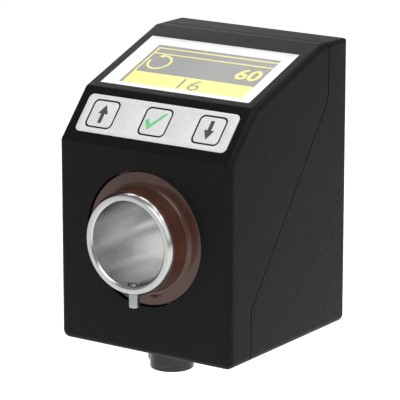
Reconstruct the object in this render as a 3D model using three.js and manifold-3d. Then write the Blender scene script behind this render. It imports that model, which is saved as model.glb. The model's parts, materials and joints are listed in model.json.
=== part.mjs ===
// Electronic position indicator with a hollow shaft, as an assembly of separate pieces.
// Millimetres, +Z up. The origin is on the shaft axis, in the plane of the rear mounting face.
// +X is to the right as the operator sees it, -Y points to the operator, +Y into the machine.
import * as THREE from 'three';
import { mergeVertices } from 'three/addons/utils/BufferGeometryUtils.js';
import Module from 'manifold-3d';

const wasm = await Module();
wasm.setup();

// ---------------------------------------------------------------- driving dimensions

const WIDTH = 48;
const DEPTH = 49.2;
const AXIS_HEIGHT = 27.5;                 // shaft axis above the underside
const FRONT_HEIGHT = 48.1;                // top of the upright front face
const KEY_SLOPE = { run: 9.93, rise: 11.0 };
const DISPLAY_SLOPE = { run: 28.0, rise: 10.1 };
const WALL = 2.4;
const SIDE_RADIUS = 1.75;                 // rounding of the edges along the two side faces
const SEAM_GAP = 0.3;                     // between the front cover and the rear housing
const FIT_GAP = 0.3;                      // between pieces that are assembled with play

const BORE_RADIUS = 10;                   // takes a 20 mm machine spindle
const SHAFT_RADIUS = 11;
const LIP_RADIUS = 12;
const SHAFT_REACH = 6.4;                  // steel end in front of the front face
const HUB_BORE = 11.2;
const HUB_BOSS = 12.1;
const HUB_FLANGE = 15.7;
const HUB_JOURNAL = 13.5;
const FRONT_HOLE = 16;
const BEARING_SEAT = 16.8;

const MODULE = 0.7;                       // gear tooth module
const SHAFT_TEETH = 40;
const ENCODER_GEARS = [
  { name: 'a', teeth: 16, angle: 115 },
  { name: 'b', teeth: 17, angle: 65 },
];

const WINDOW = { halfWidth: 20.9, low: 1.95, high: 24.6 };
const LCD = { halfWidth: 17.3, low: 4.45, high: 21.95 };
const FOIL = { halfWidth: 21, low: 2.7, high: 12.83, corner: 1.3 };
const POCKET_GAP = 0.25;                  // around the key foil
const KEYS = [
  { name: 'up', x: -15.2 },
  { name: 'enter', x: -0.3 },
  { name: 'down', x: 14.6 },
];
const KEY = { side: 6.9, corner: 1.1, centre: 7.85, top: -0.05, foot: -2.4 };
const KEY_HOLE = { side: 7.5, corner: 1.4 };

const SOCKET = { x: -2.7, y: -34.2, end: -7.3, inside: 7.2 };
const PLUG = { x: -10.8, y: -23.7, end: -9.4, inside: 9.2 };
const CONNECTOR = { sleeve: 5.2, thread: 4.4, cavity: 4.1, core: 2.9, insert: 2.6, nutFlat: 5.2 };
const SCREWS = [
  { x: -19.2, z: -22.6, tip: -45.5 },
  { x: 19.2, z: -22.6, tip: -45.5 },
  { x: -19.2, z: 34.6, tip: -12.4 },
  { x: 19.2, z: 34.6, tip: -12.4 },
];
const SCREW = { head: 2.7, headHeight: 1.8, shank: 1.4, clear: 1.8, boss: 2.8 };
const TORQUE_PIN = { z: -21.5, radius: 3, reach: 9.8, root: -7 };

const FRONT = -DEPTH;
const FLOOR = -AXIS_HEIGHT;
const TOP = FLOOR + FRONT_HEIGHT + KEY_SLOPE.rise + DISPLAY_SLOPE.rise;
const HALF = WIDTH / 2;

// Side outline of the housing in the Y-Z plane, counter-clockwise as seen from +X.
const OUTLINE = [
  [FRONT, FLOOR],
  [0, FLOOR],
  [0, TOP],
  [FRONT + KEY_SLOPE.run + DISPLAY_SLOPE.run, TOP],
  [FRONT + KEY_SLOPE.run, TOP - DISPLAY_SLOPE.rise],
  [FRONT, FLOOR + FRONT_HEIGHT],
];
const OUTLINE_RADII = [1.0, 1.0, 1.35, 2.0, 1.2, 1.2];

// Parting line of the two shells in the Y-Z plane, from the top down.
const SEAM = { topY: -8.55, topZ: 28.32, footY: -40.75, footZ: -15.17 };

// ---------------------------------------------------------------- geometry helpers

function clean(geometry) {
  const bare = geometry.clone();
  bare.deleteAttribute('normal');
  bare.deleteAttribute('uv');
  const merged = mergeVertices(bare, 1e-4);
  const index = merged.index.array;
  const kept = [];
  for (let i = 0; i < index.length; i += 3) {
    const [a, b, c] = [index[i], index[i + 1], index[i + 2]];
    if (a !== b && b !== c && c !== a) kept.push(a, b, c);
  }
  merged.setIndex(kept);
  return merged;
}

function solid(geometry) {
  const closed = clean(geometry);
  return new wasm.Manifold(new wasm.Mesh({
    numProp: 3,
    vertProperties: new Float32Array(closed.attributes.position.array),
    triVerts: new Uint32Array(closed.index.array),
  }));
}

function surface(body) {
  const mesh = body.getMesh();
  const geometry = new THREE.BufferGeometry();
  geometry.setAttribute('position', new THREE.BufferAttribute(new Float32Array(mesh.vertProperties), 3));
  geometry.setIndex(new THREE.BufferAttribute(new Uint32Array(mesh.triVerts), 1));
  geometry.computeVertexNormals();
  return geometry;
}

function join(first, ...others) {
  return others.reduce((total, next) => total.add(next), first);
}

function cut(first, ...others) {
  return others.reduce((total, next) => total.subtract(next), first);
}

function outlineShape(points) {
  return new THREE.Shape(points.map(([x, y]) => new THREE.Vector2(x, y)));
}

// Replaces each corner of a polygon by an arc of its own radius.
function roundCorners(points, radii, steps = 4) {
  const result = [];
  points.forEach((point, i) => {
    const corner = new THREE.Vector2(...point);
    const before = new THREE.Vector2(...points.at(i - 1)).sub(corner).normalize();
    const after = new THREE.Vector2(...points[(i + 1) % points.length]).sub(corner).normalize();
    const half = Math.acos(before.dot(after)) / 2;
    const radius = Array.isArray(radii) ? radii[i] : radii;
    const bisector = before.clone().add(after).normalize();
    const centre = corner.clone().addScaledVector(bisector, radius / Math.sin(half));
    const start = corner.clone().addScaledVector(before, radius / Math.tan(half)).sub(centre);
    const end = corner.clone().addScaledVector(after, radius / Math.tan(half)).sub(centre);
    const sweep = Math.atan2(start.cross(end), start.dot(end));
    for (let k = 0; k <= steps; k += 1) {
      const arm = start.clone().rotateAround(new THREE.Vector2(), (sweep * k) / steps);
      result.push([centre.x + arm.x, centre.y + arm.y]);
    }
  });
  return result;
}

// Moves every side of a convex counter-clockwise polygon inwards by the same distance.
function inset(points, distance) {
  const sides = points.map((point, i) => {
    const next = points[(i + 1) % points.length];
    const along = new THREE.Vector2(next[0] - point[0], next[1] - point[1]).normalize();
    const inward = new THREE.Vector2(-along.y, along.x).multiplyScalar(distance);
    return { base: new THREE.Vector2(...point).add(inward), along };
  });
  return sides.map((side, i) => {
    const last = sides.at(i - 1);
    const gap = side.base.clone().sub(last.base);
    const t = gap.cross(side.along) / last.along.cross(side.along);
    return [last.base.x + last.along.x * t, last.base.y + last.along.y * t];
  });
}

function roundedRectangle(halfWidth, low, high, corner, steps = 4) {
  const points = [[-halfWidth, low], [halfWidth, low], [halfWidth, high], [-halfWidth, high]];
  return corner > 0 ? roundCorners(points, corner, steps) : points;
}

// Prism along X of an outline given in Y and Z.
function prismX(points, x0, x1, options = {}) {
  const settings = { depth: x1 - x0, bevelEnabled: false, ...options };
  const geometry = new THREE.ExtrudeGeometry(outlineShape(points), settings);
  const axes = [new THREE.Vector3(0, 1, 0), new THREE.Vector3(0, 0, 1), new THREE.Vector3(1, 0, 0)];
  const matrix = new THREE.Matrix4().makeBasis(...axes).setPosition(x0, 0, 0);
  return geometry.applyMatrix4(matrix);
}

// Prism along Y of an outline given in X and Z, with round holes given as [x, z, radius].
function prismY(points, front, rear, holes = [], segments = 24) {
  const shape = outlineShape(points);
  for (const [x, z, radius] of holes) {
    shape.holes.push(new THREE.Path().absarc(x, z, radius, 0, 2 * Math.PI, true));
  }
  const geometry = new THREE.ExtrudeGeometry(shape, {
    depth: rear - front, bevelEnabled: false, curveSegments: segments,
  });
  const axes = [new THREE.Vector3(1, 0, 0), new THREE.Vector3(0, 0, 1), new THREE.Vector3(0, -1, 0)];
  return geometry.applyMatrix4(new THREE.Matrix4().makeBasis(...axes).setPosition(0, rear, 0));
}

// Plate in the X-Y plane between two heights, used inside the turned display and key groups.
function plate(points, low, high, holes = []) {
  const shape = outlineShape(points);
  for (const hole of holes) shape.holes.push(new THREE.Path(outlineShape(hole).getPoints()));
  const geometry = new THREE.ExtrudeGeometry(shape, { depth: high - low, bevelEnabled: false });
  return geometry.translate(0, 0, low);
}

// Body of revolution about the Y axis from a counter-clockwise profile of [radius, y].
function turned(profile, segments = 40) {
  const points = profile.map(([r, y]) => new THREE.Vector2(r, y));
  const onAxis = profile[0][0] === 0;
  if (!onAxis) points.push(points[0].clone());
  return new THREE.LatheGeometry(points, segments);
}

function ringProfile(inner, outer, front, rear, chamfer = 0) {
  return [
    [inner, front], [outer - chamfer, front], [outer, front + chamfer],
    [outer, rear - chamfer], [outer - chamfer, rear], [inner, rear],
  ].filter((point, i, all) => i === 0 || point[0] !== all[i - 1][0] || point[1] !== all[i - 1][1]);
}

function rodY(radius, front, rear, segments = 20) {
  return turned([[0, front], [radius, front], [radius, rear], [0, rear]], segments);
}

// Body of revolution about a vertical line, from a profile of [radius, z].
function turnedZ(profile, x, y, segments = 24) {
  return turned(profile, segments).rotateX(Math.PI / 2).translate(x, y, 0);
}

function block(x0, x1, y0, y1, z0, z1) {
  const geometry = new THREE.BoxGeometry(x1 - x0, y1 - y0, z1 - z0);
  return geometry.translate((x0 + x1) / 2, (y0 + y1) / 2, (z0 + z1) / 2);
}

function shifted(geometry, x, z) {
  return geometry.translate(x, 0, z);
}

// ---------------------------------------------------------------- finishes and the assembly

const FINISHES = {
  blackPlastic: { color: 0x202020, roughness: 0.55, metalness: 0 },
  blackRubber: { color: 0x161616, roughness: 0.8, metalness: 0 },
  amberPlastic: { color: 0x5c3a2e, roughness: 0.35, metalness: 0 },
  steel: { color: 0xc4c4c4, roughness: 0.25, metalness: 1 },
  nickel: { color: 0x8a8a8a, roughness: 0.3, metalness: 1 },
  clearPlastic: { color: 0xffffff, roughness: 0.05, metalness: 0, transparent: true, opacity: 0.25 },
  whitePlastic: { color: 0xf4f4f2, roughness: 0.45, metalness: 0 },
  lcdGlass: { color: 0xfffead, roughness: 0.3, metalness: 0 },
  silverFilm: { color: 0xe0dedf, roughness: 0.4, metalness: 0.2 },
  circuitBoard: { color: 0x1e5b35, roughness: 0.5, metalness: 0 },
  chip: { color: 0x1a1a1a, roughness: 0.6, metalness: 0 },
  gearPlastic: { color: 0xe9e6da, roughness: 0.4, metalness: 0 },
  magnet: { color: 0x77787a, roughness: 0.35, metalness: 1 },
  ribbon: { color: 0xb5702c, roughness: 0.4, metalness: 0 },
};

const indicator = new THREE.Group();

function addPiece(name, geometry, finish, parent = indicator) {
  const mesh = new THREE.Mesh(clean(geometry), new THREE.MeshStandardMaterial(FINISHES[finish]));
  mesh.geometry.computeVertexNormals();
  mesh.name = name;
  parent.add(mesh);
  return mesh;
}

function slopeGroup(y, z, run, rise) {
  const group = new THREE.Group();
  group.position.set(0, y, z);
  group.rotation.x = Math.atan2(rise, run);
  group.updateMatrixWorld(true);
  indicator.add(group);
  return group;
}

const keypad = slopeGroup(FRONT, FLOOR + FRONT_HEIGHT, KEY_SLOPE.run, KEY_SLOPE.rise);
const display = slopeGroup(
  FRONT + KEY_SLOPE.run, TOP - DISPLAY_SLOPE.rise, DISPLAY_SLOPE.run, DISPLAY_SLOPE.rise,
);

function inGroup(geometry, group) {
  return geometry.applyMatrix4(group.matrixWorld);
}

// ---------------------------------------------------------------- housing shells

function housingBlock() {
  const along = solid(prismX(roundCorners(OUTLINE, OUTLINE_RADII), -HALF, HALF));
  const bevelled = solid(prismX(OUTLINE, -HALF + SIDE_RADIUS, HALF - SIDE_RADIUS, {
    bevelEnabled: true, bevelThickness: SIDE_RADIUS, bevelSize: SIDE_RADIUS,
    bevelOffset: -SIDE_RADIUS, bevelSegments: 3,
  }));
  return along.intersect(bevelled);
}

function insetBlock(distance) {
  return solid(prismX(inset(OUTLINE, distance), -HALF + distance, HALF - distance));
}

// Points of the parting line, moved along Y, with its two bends rounded.
function seamLine(shift) {
  const corners = [[SEAM.topY, 100], [SEAM.topY, SEAM.topZ], [SEAM.footY, SEAM.footZ], [SEAM.footY, -100]];
  const closed = roundCorners([...corners, [100, -100], [100, 100]], [0.1, 9, 4.5, 0.1, 0.1, 0.1], 6);
  return closed.filter(([y]) => y < 50).map(([y, z]) => [y + shift, z]);
}

function frontRegion(shift) {
  return solid(prismX([...seamLine(shift).reverse(), [-100, 100], [-100, -100]], -50, 50));
}

function seamBand(halfWidth) {
  return frontRegion(halfWidth).subtract(frontRegion(-halfWidth));
}

const cavity = insetBlock(WALL);
const shell = housingBlock().subtract(cavity);
const sealGroove = seamBand(0.9).intersect(insetBlock(1.1)).subtract(cavity);

function screwBosses(front, rear, screws) {
  return screws.map(({ x, z }) => solid(shifted(rodY(SCREW.boss, front, rear, 16), x, z)));
}

function screwHoles(radius, front, rear, screws) {
  return screws.map(({ x, z }) => solid(shifted(rodY(radius, front, rear, 16), x, z)));
}

const lowerScrews = SCREWS.slice(0, 2);
const upperScrews = SCREWS.slice(2);

function connectorHole({ x, y }) {
  const radius = CONNECTOR.thread + 0.25;
  const profile = [[0, -1], [radius, -1], [radius, WALL + 1], [0, WALL + 1]];
  return solid(turnedZ(profile, x, y).translate(0, 0, FLOOR));
}

function frontCover() {
  const bearingBoss = solid(turned(ringProfile(BEARING_SEAT, 18.6, FRONT + WALL - 0.5, -37.5), 36));
  const inside = insetBlock(WALL - 0.5);
  const bosses = [
    ...screwBosses(FRONT + WALL - 1, SEAM.footY - 0.15, lowerScrews),
    ...screwBosses(-13, SEAM.topY - 0.15, upperScrews),
  ].map((boss) => boss.intersect(inside));
  const pocketOutline = roundedRectangle(
    FOIL.halfWidth + POCKET_GAP, FOIL.low - POCKET_GAP, FOIL.high + POCKET_GAP, FOIL.corner + POCKET_GAP,
  );
  const foilPocket = inGroup(plate(pocketOutline, -0.7, 2), keypad);
  const keyWells = KEYS.map(({ x }) => {
    const half = KEY_HOLE.side / 2;
    const outline = roundedRectangle(half, KEY.centre - half, KEY.centre + half, KEY_HOLE.corner);
    return solid(inGroup(plate(outline, -5, 1).translate(x, 0, 0), keypad));
  });
  const windowOutline = roundedRectangle(WINDOW.halfWidth, WINDOW.low, WINDOW.high, 0.4, 2);
  const windowOpening = inGroup(plate(windowOutline, -5, 2), display);
  return cut(
    join(shell.intersect(frontRegion(-SEAM_GAP / 2)), bearingBoss, ...bosses),
    solid(rodY(FRONT_HOLE, FRONT - 1, FRONT + WALL + 1, 48)),
    solid(foilPocket),
    ...keyWells,
    solid(windowOpening),
    sealGroove,
    ...screwHoles(SCREW.shank + FIT_GAP, -46.2, 0, lowerScrews),
    ...screwHoles(SCREW.shank + FIT_GAP, -12.7, 0, upperScrews),
  );
}

function rearHousing() {
  const inside = insetBlock(WALL - 0.5);
  const bearingBoss = solid(turned(ringProfile(14.8, 17, -13, -WALL + 0.5)));
  const bosses = [
    ...screwBosses(SEAM.footY + 0.15, -WALL + 0.5, lowerScrews),
    ...screwBosses(SEAM.topY + 0.15, -WALL + 0.5, upperScrews),
    solid(shifted(rodY(TORQUE_PIN.radius + 2, TORQUE_PIN.root - 1.5, -WALL + 0.5, 20), 0, TORQUE_PIN.z)),
  ].map((boss) => boss.intersect(inside));
  const bearingBore = solid(rodY(14.8, -20, 1, 40));
  return cut(
    join(shell.subtract(frontRegion(SEAM_GAP / 2)), bearingBoss, ...bosses),
    bearingBore,
    sealGroove,
    connectorHole(SOCKET),
    connectorHole(PLUG),
    ...screwHoles(SCREW.clear, -50, 1, SCREWS),
    ...screwHoles(SCREW.head + FIT_GAP, -SCREW.headHeight - 0.5, 1, SCREWS),
    solid(shifted(rodY(TORQUE_PIN.radius + 0.2, TORQUE_PIN.root - 0.2, 1, 20), 0, TORQUE_PIN.z)),
  );
}

addPiece('front_cover', surface(frontCover()), 'blackPlastic');
addPiece('rear_housing', surface(rearHousing()), 'blackPlastic');
addPiece(
  'housing_seal',
  surface(seamBand(0.6).intersect(insetBlock(1.35)).subtract(insetBlock(2.2))),
  'blackRubber',
);

// ---------------------------------------------------------------- display stack, lying on its slope

const windowOutline = roundedRectangle(
  WINDOW.halfWidth - FIT_GAP, WINDOW.low + FIT_GAP, WINDOW.high - FIT_GAP, 0.3, 2,
);
const lcdOpening = roundedRectangle(LCD.halfWidth, LCD.low, LCD.high, 0);
const lcdOutline = roundedRectangle(LCD.halfWidth - 0.2, LCD.low + 0.2, LCD.high - 0.2, 0);

addPiece('display_window', plate(windowOutline, -0.5, -0.15), 'clearPlastic', display);
addPiece('display_bezel', plate(windowOutline, -2.9, -0.7, [lcdOpening]), 'whitePlastic', display);
addPiece('lcd_panel', plate(lcdOutline, -2.7, -0.8), 'lcdGlass', display);
addPiece('light_guide', plate(roundedRectangle(18.2, 4, 23.2, 0), -4.9, -3.2), 'whitePlastic', display);
addPiece('display_board', plate(roundedRectangle(19.8, 3, 24.2, 0), -6.4, -5.2), 'circuitBoard', display);

// ---------------------------------------------------------------- key field, lying on its slope

function keyOutline(side, corner) {
  return roundedRectangle(side / 2, KEY.centre - side / 2, KEY.centre + side / 2, corner);
}

const foilOutline = roundedRectangle(FOIL.halfWidth, FOIL.low, FOIL.high, FOIL.corner);
const foilHoles = KEYS.map(({ x }) => keyOutline(KEY_HOLE.side, KEY_HOLE.corner).map(([u, v]) => [u + x, v]));
addPiece('keypad_foil', plate(foilOutline, -0.4, -0.05, foilHoles), 'silverFilm', keypad);

for (const { name, x } of KEYS) {
  addPiece(`key_${name}`, plate(keyOutline(KEY.side, KEY.corner), KEY.foot, KEY.top), 'silverFilm', keypad)
    .position.x = x;
  const domeProfile = [[0, -3.3], [2.6, -3.3], [2.3, -3.1], [1.2, -2.95], [0, -2.9]];
  const dome = turned(domeProfile, 20).rotateX(Math.PI / 2);
  addPiece(`dome_${name}`, dome, 'steel', keypad).position.set(x, KEY.centre, 0);
}
addPiece('keypad_board', plate(roundedRectangle(20.5, 2.6, 13.4, 0.5), -4.6, -3.6), 'circuitBoard', keypad);

// ---------------------------------------------------------------- shaft and what turns with it

const shaft = new THREE.Group();
indicator.add(shaft);

const SHAFT_FRONT = FRONT - SHAFT_REACH;
const HUB_FRONT = FRONT - 5.0;
const FLANGE_FRONT = FRONT + 0.5;
const FLANGE_REAR = FRONT + 2.0;
const BOSS_FILLET = 1.2;
const CLAMP_Y = FRONT - 3.7;
const CLAMP_HOLE = 1.5;

function clampHole() {
  return solid(turnedZ([[0, -18], [CLAMP_HOLE, -18], [CLAMP_HOLE, -5], [0, -5]], 0, CLAMP_Y, 16));
}

function hollowShaft() {
  const profile = [
    [BORE_RADIUS + 0.4, SHAFT_FRONT], [11.4, SHAFT_FRONT], [LIP_RADIUS, SHAFT_FRONT + 1.1],
    [LIP_RADIUS, SHAFT_FRONT + 1.15], [SHAFT_RADIUS, SHAFT_FRONT + 1.15], [SHAFT_RADIUS, -0.9],
    [SHAFT_RADIUS - 0.4, -0.5], [BORE_RADIUS + 0.4, -0.5], [BORE_RADIUS, -0.9],
    [BORE_RADIUS, SHAFT_FRONT + 0.4],
  ];
  return surface(solid(turned(profile, 48)).subtract(clampHole()));
}

function shaftHub() {
  const fillet = [];
  for (let k = 0; k <= 3; k += 1) {
    const angle = (Math.PI / 2) * (k / 3);
    fillet.push([
      HUB_BOSS + BOSS_FILLET * (1 - Math.cos(angle)),
      FLANGE_FRONT - BOSS_FILLET * (1 - Math.sin(angle)),
    ]);
  }
  const profile = [
    [HUB_BORE, HUB_FRONT], [HUB_BOSS, HUB_FRONT], ...fillet,
    [HUB_FLANGE, FLANGE_FRONT], [HUB_FLANGE, FLANGE_REAR], [HUB_JOURNAL, FLANGE_REAR],
    [HUB_JOURNAL, -35], [HUB_BORE, -35],
  ];
  const notch = solid(block(-CLAMP_HOLE, CLAMP_HOLE, HUB_FRONT - 1, CLAMP_Y, -18, -5));
  return surface(cut(solid(turned(profile, 48)), clampHole(), notch));
}

// Toothed outline with straight-flanked teeth. The first tooth or gap is centred on `start`.
function gearOutline(teeth, start, toothFirst) {
  const pitchRadius = (MODULE * teeth) / 2;
  const pitch = (2 * Math.PI) / teeth;
  const flank = [[-0.32, -1.2], [-0.11, 0.85], [0.11, 0.85], [0.32, -1.2]];
  const points = [];
  for (let tooth = 0; tooth < teeth; tooth += 1) {
    const middle = start + (tooth + (toothFirst ? 0 : 0.5)) * pitch;
    for (const [share, height] of flank) {
      const angle = middle + share * pitch;
      const radius = pitchRadius + height * MODULE;
      points.push([radius * Math.cos(angle), radius * Math.sin(angle)]);
    }
  }
  return points;
}

function radians(degrees) {
  return THREE.MathUtils.degToRad(degrees);
}

// The shaft gear's tooth phase follows its first mate; the mates then take the phase it leaves them.
const shaftPhase = radians(ENCODER_GEARS[0].angle);
const GEAR_FRONT = -34.5;
const GEAR_REAR = -31;

addPiece('hollow_shaft', hollowShaft(), 'steel', shaft);
addPiece('shaft_hub', shaftHub(), 'amberPlastic', shaft);
addPiece(
  'clamp_screw',
  turnedZ([[0, -15.3], [1.05, -15.3], [1.25, -15.1], [1.25, -10.0], [0.8, -9.6], [0, -9.6]], 0, CLAMP_Y, 20),
  'steel', shaft,
);
addPiece(
  'shaft_gear',
  prismY(gearOutline(SHAFT_TEETH, shaftPhase, true), GEAR_FRONT, GEAR_REAR, [[0, 0, 11.3]], 32),
  'gearPlastic', shaft,
);
const clipOutline = [];
for (let k = 0; k <= 28; k += 1) clipOutline.push([13.2, -60 + (300 * k) / 28]);
for (let k = 28; k >= 0; k -= 1) clipOutline.push([11.2, -60 + (300 * k) / 28]);
addPiece(
  'retaining_ring',
  prismY(clipOutline.map(([r, a]) => [r * Math.cos(radians(a)), r * Math.sin(radians(a))]), -30.6, -29.6),
  'steel', shaft,
);

// ---------------------------------------------------------------- bearings and shaft seals

function lipSeal(inner, outer, front, rear) {
  const middle = (inner + outer) / 2;
  return turned([
    [inner + 0.5, front], [outer, front], [outer, rear], [middle + 0.3, rear],
    [middle + 0.3, front + 0.9], [inner + 0.4, rear - 0.4], [inner, rear - 0.7],
  ], 28);
}

addPiece('front_bearing', turned(ringProfile(HUB_JOURNAL + 0.1, 16.5, -46.5, -41.6, 0.3), 32), 'gearPlastic');
addPiece('front_shaft_seal', lipSeal(HUB_JOURNAL + 0.1, 16.5, -41.2, -38.2), 'blackRubber');
addPiece('rear_bearing', turned(ringProfile(SHAFT_RADIUS + 0.1, 14.5, -5.4, -0.4, 0.3), 32), 'gearPlastic');
addPiece('rear_shaft_seal', lipSeal(SHAFT_RADIUS + 0.1, 14.5, -9, -6), 'blackRubber');

// ---------------------------------------------------------------- counting gears and their sensors

const carrierOutline = [[-18, 14.3], [18, 14.3], [18, 24.6], [-18, 24.6]];
const gearCentres = ENCODER_GEARS.map((gear) => {
  const distance = (MODULE * (SHAFT_TEETH + gear.teeth)) / 2;
  const angle = radians(gear.angle);
  return { ...gear, rad: angle, x: distance * Math.cos(angle), z: distance * Math.sin(angle) };
});

function gearCarrier() {
  const back = prismY(carrierOutline, -37.2, -35.2, gearCentres.map(({ x, z }) => [x, z, 1.2]), 12);
  const legs = [-1, 1].map((side) => {
    const [x0, x1] = side < 0 ? [-18, -16] : [16, 18];
    return solid(block(x0, x1, -35.5, -27.4, 14.3, 24.6));
  });
  return surface(join(solid(back), ...legs));
}

addPiece('gear_carrier', gearCarrier(), 'gearPlastic');
for (const { name, teeth, rad, x, z } of gearCentres) {
  addPiece(`gear_axle_${name}`, shifted(rodY(1, -37.1, -31.4), x, z), 'steel');
  // Seen from the mate, the shaft gear's nearest tooth sits `offset` pitches past the line of centres.
  const shaftPitch = (2 * Math.PI) / SHAFT_TEETH;
  const offset = (((rad - shaftPhase) / shaftPitch) % 1 + 1) % 1;
  const matePitch = (2 * Math.PI) / teeth;
  const start = rad + Math.PI + offset * matePitch;
  const outline = gearOutline(teeth, start, false).map(([u, v]) => [u + x, v + z]);
  addPiece(
    `encoder_gear_${name}`,
    prismY(outline, GEAR_FRONT, GEAR_REAR, [[x, z, 1.15]], 12),
    'gearPlastic',
  );
  addPiece(`magnet_${name}`, shifted(rodY(2.25, GEAR_REAR + 0.3, -28.9), x, z), 'magnet');
  addPiece(`sensor_${name}`, block(x - 2, x + 2, -28.2, -27.3, z - 2.4, z + 2.4), 'chip');
}
addPiece(
  'sensor_board',
  block(-18, 18, -27, -25.8, 13.2, 24.8),
  'circuitBoard',
);

// ---------------------------------------------------------------- main board and its ribbon cable

addPiece(
  'main_board',
  prismY(roundedRectangle(20.4, -18.4, 30, 1, 2), -15.5, -14.1, [[0, 0, 12.4]], 24),
  'circuitBoard',
);
addPiece('processor', block(-5, 5, -16.9, -15.8, 15.5, 25.5), 'chip');

function ribbonCable() {
  const centre = new THREE.CatmullRomCurve3([
    new THREE.Vector3(-16.2, 23, 0), new THREE.Vector3(-16.2, 26, 0), new THREE.Vector3(-17.2, 28.2, 0),
    new THREE.Vector3(-19.8, 28.9, 0), new THREE.Vector3(-22.5, 28.2, 0),
  ]).getPoints(16);
  const side = (distance) => centre.map((point, i) => {
    const a = centre[Math.max(i - 1, 0)];
    const b = centre[Math.min(i + 1, centre.length - 1)];
    const normal = new THREE.Vector2(-(b.y - a.y), b.x - a.x).normalize();
    return [point.x + normal.x * distance, point.y + normal.y * distance];
  });
  return prismX([...side(0.15), ...side(-0.15).reverse()], 7, 17);
}

addPiece('ribbon_cable', ribbonCable(), 'ribbon');

// ---------------------------------------------------------------- bus connectors on the underside

function connectorShell({ x, y, end, inside }, cavityDepth) {
  const rim = CONNECTOR.sleeve - 0.3;
  const profile = [
    [CONNECTOR.cavity, end], [rim, end], [CONNECTOR.sleeve, end + 0.3], [CONNECTOR.sleeve, -0.2],
    [CONNECTOR.thread, -0.2], [CONNECTOR.thread, inside], [CONNECTOR.core, inside],
    [CONNECTOR.core, end + cavityDepth], [CONNECTOR.cavity, end + cavityDepth],
  ];
  return turnedZ(profile, x, y).translate(0, 0, FLOOR);
}

const PIN_CIRCLE = 1.5;
const pinSpots = [45, 135, 225, 315].map((angle) => [
  PIN_CIRCLE * Math.cos(radians(angle)), PIN_CIRCLE * Math.sin(radians(angle)),
]);

function roundBar(radius, low, high, segments) {
  return new THREE.CylinderGeometry(radius, radius, high - low, segments)
    .rotateX(Math.PI / 2).translate(0, 0, (low + high) / 2);
}

function socketInsert() {
  const low = FLOOR + SOCKET.end + 0.8;
  const body = solid(roundBar(CONNECTOR.insert, low, FLOOR + SOCKET.inside + 0.8, 24));
  const holes = pinSpots.map(([px, py]) => solid(roundBar(0.45, low - 1, low + 5, 10).translate(px, py, 0)));
  return surface(cut(body, ...holes)).translate(SOCKET.x, SOCKET.y, 0);
}

function plugInsert() {
  const low = FLOOR + PLUG.end + 5.5;
  const body = solid(roundBar(CONNECTOR.insert, low, FLOOR + PLUG.inside + 0.8, 24));
  const holes = pinSpots.map(([px, py]) => solid(roundBar(0.7, low - 1, low + 6, 10).translate(px, py, 0)));
  return surface(cut(body, ...holes)).translate(PLUG.x, PLUG.y, 0);
}

function hexNut({ x, y }) {
  const corner = CONNECTOR.nutFlat / Math.cos(Math.PI / 6);
  const hexagon = [];
  for (let k = 0; k < 6; k += 1) {
    const angle = (Math.PI / 3) * (k + 0.5);
    hexagon.push([corner * Math.cos(angle), corner * Math.sin(angle)]);
  }
  const shape = outlineShape(hexagon);
  shape.holes.push(new THREE.Path().absarc(0, 0, CONNECTOR.thread + 0.1, 0, 2 * Math.PI, true));
  const low = FLOOR + WALL + FIT_GAP;
  return new THREE.ExtrudeGeometry(shape, { depth: 2, bevelEnabled: false, curveSegments: 20 })
    .translate(x, y, low);
}

for (const [name, spec, depth] of [['socket', SOCKET, 2.2], ['plug', PLUG, 5.2]]) {
  addPiece(`bus_${name}_shell`, connectorShell(spec, depth), 'nickel');
  addPiece(`bus_${name}_nut`, hexNut(spec), 'nickel');
}
addPiece('bus_socket_insert', socketInsert(), 'chip');
addPiece('bus_plug_insert', plugInsert(), 'chip');
pinSpots.forEach(([px, py], i) => {
  const low = FLOOR + PLUG.end + 0.9;
  const pin = roundBar(0.5, low, low + 9, 10).translate(PLUG.x + px, PLUG.y + py, 0);
  addPiece(`bus_plug_pin_${i + 1}`, pin, 'nickel');
});

// ---------------------------------------------------------------- fasteners and the torque pin

function coverScrew({ x, z, tip }) {
  const head = -SCREW.headHeight - 0.2;
  const body = solid(turned([
    [0, tip], [SCREW.shank - 0.4, tip], [SCREW.shank, tip + 0.5], [SCREW.shank, head],
    [SCREW.head, head], [SCREW.head, -0.4], [SCREW.head - 0.2, -0.2], [0, -0.2],
  ], 20));
  const socket = solid(rodY(1.15, -1.4, 1, 6));
  return shifted(surface(body.subtract(socket)), x, z);
}

SCREWS.forEach((screw, i) => addPiece(`cover_screw_${i + 1}`, coverScrew(screw), 'steel'));
addPiece(
  'torque_pin',
  shifted(turned([
    [0, TORQUE_PIN.root], [TORQUE_PIN.radius, TORQUE_PIN.root], [TORQUE_PIN.radius, TORQUE_PIN.reach - 0.6],
    [TORQUE_PIN.radius - 0.6, TORQUE_PIN.reach], [0, TORQUE_PIN.reach],
  ], 28), 0, TORQUE_PIN.z),
  'steel',
);

export default indicator;
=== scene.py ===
"""Electronic position indicator with a hollow shaft: the visible pieces, finishes, light and camera.

Metres, +Z up. The origin is on the shaft axis in the plane of the rear face, and -Y is towards the operator.
Sizes are written in millimetres and turned to metres where a piece is made.
"""

import json
import math

import bpy
from mathutils import Matrix, Vector


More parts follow.
